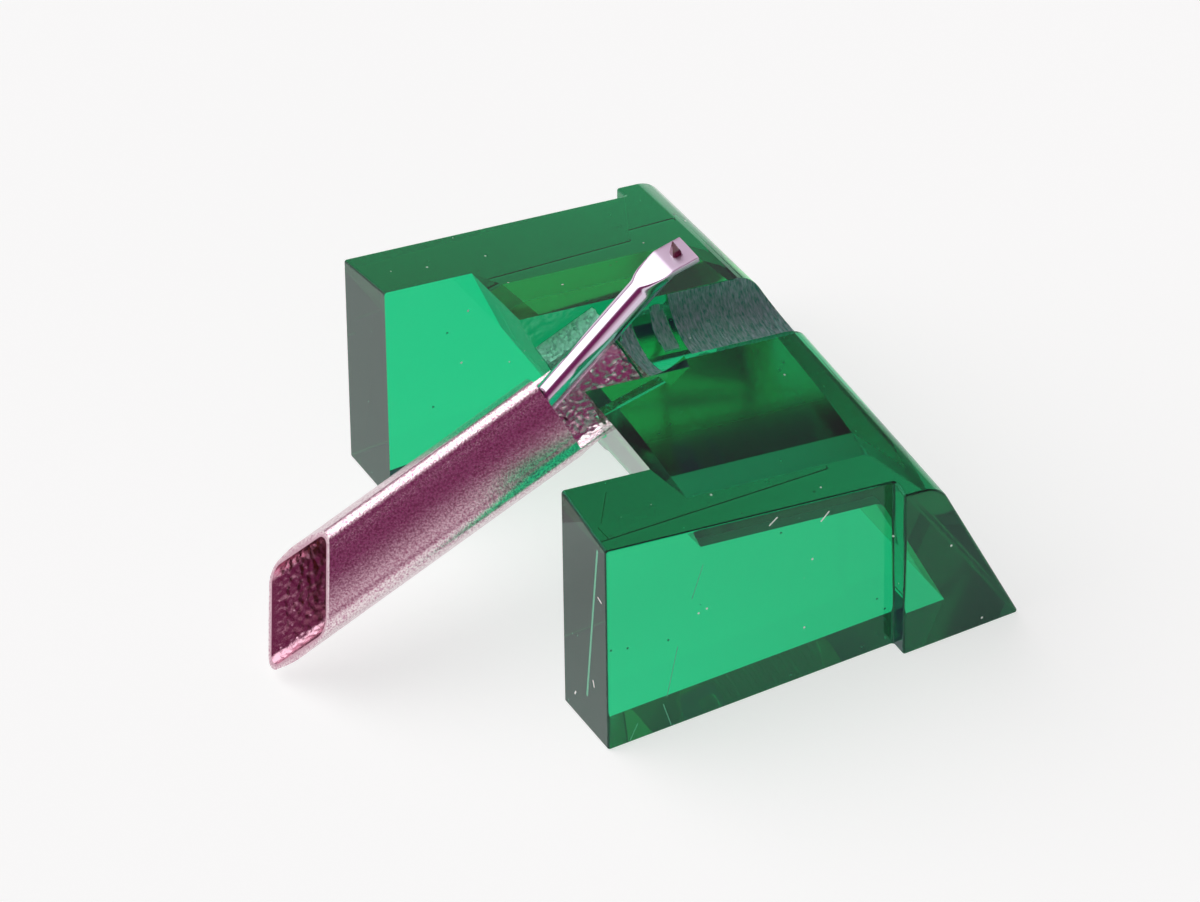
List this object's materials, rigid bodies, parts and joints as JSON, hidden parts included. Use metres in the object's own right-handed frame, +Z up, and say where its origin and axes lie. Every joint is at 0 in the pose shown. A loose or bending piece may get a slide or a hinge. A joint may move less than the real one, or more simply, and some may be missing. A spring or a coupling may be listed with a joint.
{
  "type": "phono cartridge replacement stylus",
  "caption": "Replacement stylus for a magnetic phono cartridge: clear green holder with two legs, square shank tube and a sprung cantilever with a stylus stone.",
  "frame": {"origin": "on the plane that the legs rest on, under the middle of the overall length and width", "axes": "+X forward from the shank to the stylus, +Y across the unit, +Z up, tip up as it lies on a table"},
  "size_m": [0.0166, 0.0138, 0.0087],
  "materials": {
    "clear_green_acrylic": "transparent green injection moulding, polished",
    "drawn_aluminium": "satin, finely grained",
    "polished_aluminium": "polished",
    "garnet_stone": "dark red, ground",
    "butyl_rubber": "matt",
    "brass": "turned",
    "sintered_magnet": "ground",
    "steel_wire": "drawn"
  },
  "bodies": {
    "holder": {"stylus_holder": "clear_green_acrylic", "carrier_tube": "drawn_aluminium", "wire_anchor": "brass", "tie_wire": "steel_wire"},
    "bearing": {"bearing_rubber": "butyl_rubber"},
    "cantilever_arm": {"cantilever": "polished_aluminium", "stylus_tip": "garnet_stone", "magnet_collar": "brass", "magnet": "sintered_magnet"}
  },
  "joints": [
    {"name": "sideways_swing", "type": "hinge", "parent": "holder", "child": "bearing", "pos_m": [-0.00238, 0, 0.00401], "axis": [-0.3665, 0, 0.9304], "range_deg": [-2.5, 2.5], "stiffness_Nm_per_rad": 0.004},
    {"name": "vertical_swing", "type": "hinge", "parent": "bearing", "child": "cantilever_arm", "pos_m": [-0.00238, 0, 0.00401], "axis": [0, -1, 0], "range_deg": [-6, 1], "stiffness_Nm_per_rad": 0.004}
  ]
}
